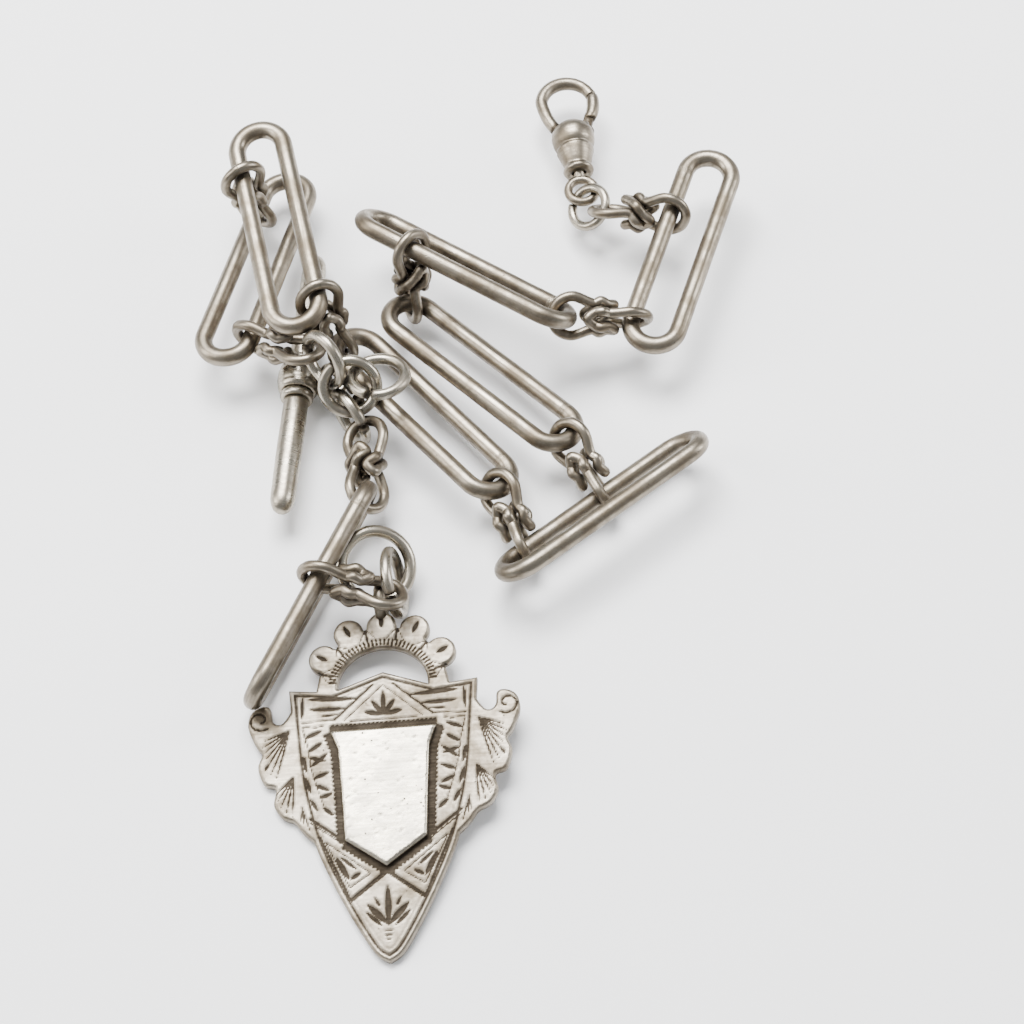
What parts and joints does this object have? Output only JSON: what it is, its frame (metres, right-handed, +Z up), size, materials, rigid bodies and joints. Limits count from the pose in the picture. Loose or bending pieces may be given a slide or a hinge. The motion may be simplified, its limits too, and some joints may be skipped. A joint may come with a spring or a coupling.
{
  "type": "pocket watch chain",
  "caption": "Silver double pocket watch chain of long oval and knot links, with a swivel clasp, a T-bar for the buttonhole and an engraved shield fob, laid on a table.",
  "frame": {"origin": "middle of the bounding box's underside, level with the table", "axes": "+Z up from the table, +Y away from the viewer towards the clasp, +X to the viewer's right"},
  "size_m": [0.0642, 0.1114, 0.0137],
  "materials": {
    "silver": "aged silver, semi-gloss, worn bright on the high places",
    "bright_silver": "silver, brighter, lightly scratched",
    "steel": "plain steel rivet"
  },
  "bodies": {
    "trombone_4": {"trombone_4": "silver"},
    "trombone_5": {"trombone_5": "silver"},
    "knot_5": {"knot_5": "silver"},
    "trombone_6": {"trombone_6": "silver"},
    "knot_6": {"knot_6": "silver"},
    "trombone_7": {"trombone_7": "silver"},
    "knot_7": {"knot_7": "silver"},
    "ring_1": {"ring_1": "bright_silver"},
    "knot_8": {"knot_8": "silver"},
    "ring_2": {"ring_2": "bright_silver"},
    "ring_3": {"ring_3": "bright_silver"},
    "ring_4": {"ring_4": "bright_silver"},
    "ring_5": {"ring_5": "bright_silver"},
    "t_bar": {"t_knop": "silver", "t_collar_1": "silver", "t_arm_1": "silver", "t_collar_2": "silver", "t_arm_2": "silver"},
    "trombone_8": {"trombone_8": "silver"},
    "knot_9": {"knot_9": "silver"},
    "ring_6": {"ring_6": "bright_silver"},
    "knot_10": {"knot_10": "silver"},
    "fob_ring": {"fob_ring": "bright_silver"},
    "fob": {"fob_shield": "silver", "fob_cartouche": "bright_silver"},
    "trombone_3": {"trombone_3": "silver"},
    "knot_4": {"knot_4": "silver"},
    "trombone_2": {"trombone_2": "silver"},
    "knot_3": {"knot_3": "silver"},
    "trombone_1": {"trombone_1": "silver"},
    "knot_2": {"knot_2": "silver"},
    "clasp_ring": {"clasp_ring": "bright_silver"},
    "knot_1": {"knot_1": "silver"},
    "swivel": {"swivel_eye": "silver"},
    "clasp": {"clasp_body": "silver", "gate_pin": "steel"},
    "gate": {"clasp_gate": "silver"}
  },
  "joints": [
    {"name": "knot_5_swing", "type": "hinge", "parent": "trombone_4", "child": "knot_5", "pos_m": [0.0063, -0.00929, 0.00292], "axis": [0.788, 0.6157, 0], "range_deg": [-18, 18]},
    {"name": "trombone_5_swing", "type": "hinge", "parent": "knot_5", "child": "trombone_5", "pos_m": [0.00323, -0.00261, 0.00441], "axis": [0.8195, 0.4901, -0.2969], "range_deg": [-18, 2]},
    {"name": "knot_6_swing", "type": "hinge", "parent": "trombone_5", "child": "knot_6", "pos_m": [-0.01533, 0.01722, 0.00403], "axis": [-0.5138, -0.8037, 0.3002], "range_deg": [-2, 1]},
    {"name": "trombone_6_swing", "type": "hinge", "parent": "knot_6", "child": "trombone_6", "pos_m": [-0.01736, 0.01861, 0.01111], "axis": [0.2264, -0.973, -0.0436], "range_deg": [-1, 1]},
    {"name": "knot_7_swing", "type": "hinge", "parent": "trombone_6", "child": "knot_7", "pos_m": [-0.02696, 0.03539, 0.01114], "axis": [0.2264, -0.973, -0.0436], "range_deg": [-2, 0]},
    {"name": "trombone_7_swing", "type": "hinge", "parent": "knot_7", "child": "trombone_7", "pos_m": [-0.02605, 0.03587, 0.00371], "axis": [-0.2566, -0.9643, 0.0663], "range_deg": [-1, 0]},
    {"name": "knot_8_swing", "type": "hinge", "parent": "trombone_7", "child": "knot_8", "pos_m": [-0.0254, 0.01675, 0.0057], "axis": [-0.2566, -0.9643, 0.0663], "range_deg": [-1, 0]},
    {"name": "ring_1_swing", "type": "hinge", "parent": "knot_8", "child": "ring_1", "pos_m": [-0.01861, 0.01338, 0.00802], "axis": [0.1101, -0.4534, -0.8845], "range_deg": [-2, 1]},
    {"name": "ring_2_swing", "type": "hinge", "parent": "ring_1", "child": "ring_2", "pos_m": [-0.01477, 0.00913, 0.00868], "axis": [0.2958, 0.004, 0.9552], "range_deg": [-18, 4]},
    {"name": "ring_3_swing", "type": "hinge", "parent": "ring_1", "child": "ring_3", "pos_m": [-0.01637, 0.01021, 0.0065], "axis": [0.6687, -0.6516, 0.3581], "range_deg": [-1, 1]},
    {"name": "ring_4_swing", "type": "hinge", "parent": "ring_2", "child": "ring_4", "pos_m": [-0.01251, 0.01098, 0.00957], "axis": [-0.9261, 0.2001, 0.3199], "range_deg": [-10, 18]},
    {"name": "ring_5_swing", "type": "hinge", "parent": "ring_2", "child": "ring_5", "pos_m": [-0.01548, 0.00711, 0.0061], "axis": [0.7818, -0.3876, -0.4884], "range_deg": [-8, 2]},
    {"name": "t_bar_swing", "type": "hinge", "parent": "ring_3", "child": "t_bar", "pos_m": [-0.01632, 0.01206, 0.00228], "axis": [0.4306, -0.4958, -0.7542], "range_deg": [-18, 1]},
    {"name": "knot_9_swing", "type": "hinge", "parent": "ring_5", "child": "knot_9", "pos_m": [-0.01197, 0.00469, 0.00457], "axis": [0.0797, -0.1615, -0.9837], "range_deg": [-18, 18]},
    {"name": "trombone_8_swing", "type": "hinge", "parent": "knot_9", "child": "trombone_8", "pos_m": [-0.01148, -0.00322, 0.00461], "axis": [-0.2592, -0.0485, -0.9646], "range_deg": [-18, 18]},
    {"name": "knot_10_swing", "type": "hinge", "parent": "trombone_8", "child": "knot_10", "pos_m": [-0.01618, -0.01495, 0.0074], "axis": [-0.4239, -0.905, -0.0366], "range_deg": [-2, 18]},
    {"name": "ring_6_swing", "type": "hinge", "parent": "knot_10", "child": "ring_6", "pos_m": [-0.0085, -0.01671, 0.00652], "axis": [0.2282, -0.6575, -0.7181], "range_deg": [-2, 10]},
    {"name": "fob_ring_swing", "type": "hinge", "parent": "ring_6", "child": "fob_ring", "pos_m": [-0.00772, -0.012, 0.00164], "axis": [-0.2089, 0.7743, 0.5973], "range_deg": [-9, 2]},
    {"name": "fob_swing", "type": "hinge", "parent": "fob_ring", "child": "fob", "pos_m": [-0.01022, -0.0158, 0.00283], "axis": [0.9525, 0.1093, -0.2844], "range_deg": [-3, 18]},
    {"name": "knot_4_swing", "type": "hinge", "parent": "trombone_4", "child": "knot_4", "pos_m": [0.01505, -0.00246, 0.00292], "axis": [0.788, 0.6157, 0], "range_deg": [-18, 18]},
    {"name": "trombone_3_swing", "type": "hinge", "parent": "knot_4", "child": "trombone_3", "pos_m": [0.0111, 0.00363, 0.00482], "axis": [0.7025, 0.6672, -0.2479], "range_deg": [-2, 18]},
    {"name": "knot_3_swing", "type": "hinge", "parent": "trombone_3", "child": "knot_3", "pos_m": [-0.00709, 0.02299, 0.00346], "axis": [-0.986, -0.0491, 0.1596], "range_deg": [-18, 18]},
    {"name": "trombone_2_swing", "type": "hinge", "parent": "knot_3", "child": "trombone_2", "pos_m": [-0.00694, 0.02579, 0.01042], "axis": [0.8598, -0.5105, -0.014], "range_deg": [-18, 18]},
    {"name": "knot_2_swing", "type": "hinge", "parent": "trombone_2", "child": "knot_2", "pos_m": [0.01118, 0.01867, 0.0073], "axis": [-0.1228, 0.8118, -0.5709], "range_deg": [-18, 18]},
    {"name": "trombone_1_swing", "type": "hinge", "parent": "knot_2", "child": "trombone_1", "pos_m": [0.01861, 0.01901, 0.00632], "axis": [-0.3205, -0.9468, -0.0279], "range_deg": [-18, 18]},
    {"name": "knot_1_swing", "type": "hinge", "parent": "trombone_1", "child": "knot_1", "pos_m": [0.02348, 0.0334, 0.00675], "axis": [-0.3205, -0.9468, -0.0279], "range_deg": [-18, 18]},
    {"name": "clasp_ring_swing", "type": "hinge", "parent": "knot_1", "child": "clasp_ring", "pos_m": [0.01575, 0.03486, 0.00532], "axis": [-0.3424, -0.8156, -0.4663], "range_deg": [-18, 18]},
    {"name": "swivel_swing", "type": "hinge", "parent": "clasp_ring", "child": "swivel", "pos_m": [0.01267, 0.03811, 0.00386], "axis": [0.5985, 0.5448, 0.5874], "range_deg": [-18, 18]},
    {"name": "clasp_swivel", "type": "hinge", "parent": "swivel", "child": "clasp", "pos_m": [0.0129, 0.04089, 0.00427], "axis": [-0.1219, 0.9925, 0], "continuous": true},
    {"name": "gate_hinge", "type": "hinge", "parent": "clasp", "child": "gate", "pos_m": [0.01372, 0.04734, 0.00427], "axis": [0, 0, 1], "range_deg": [0, 24], "stiffness_Nm_per_rad": 0.004}
  ]
}
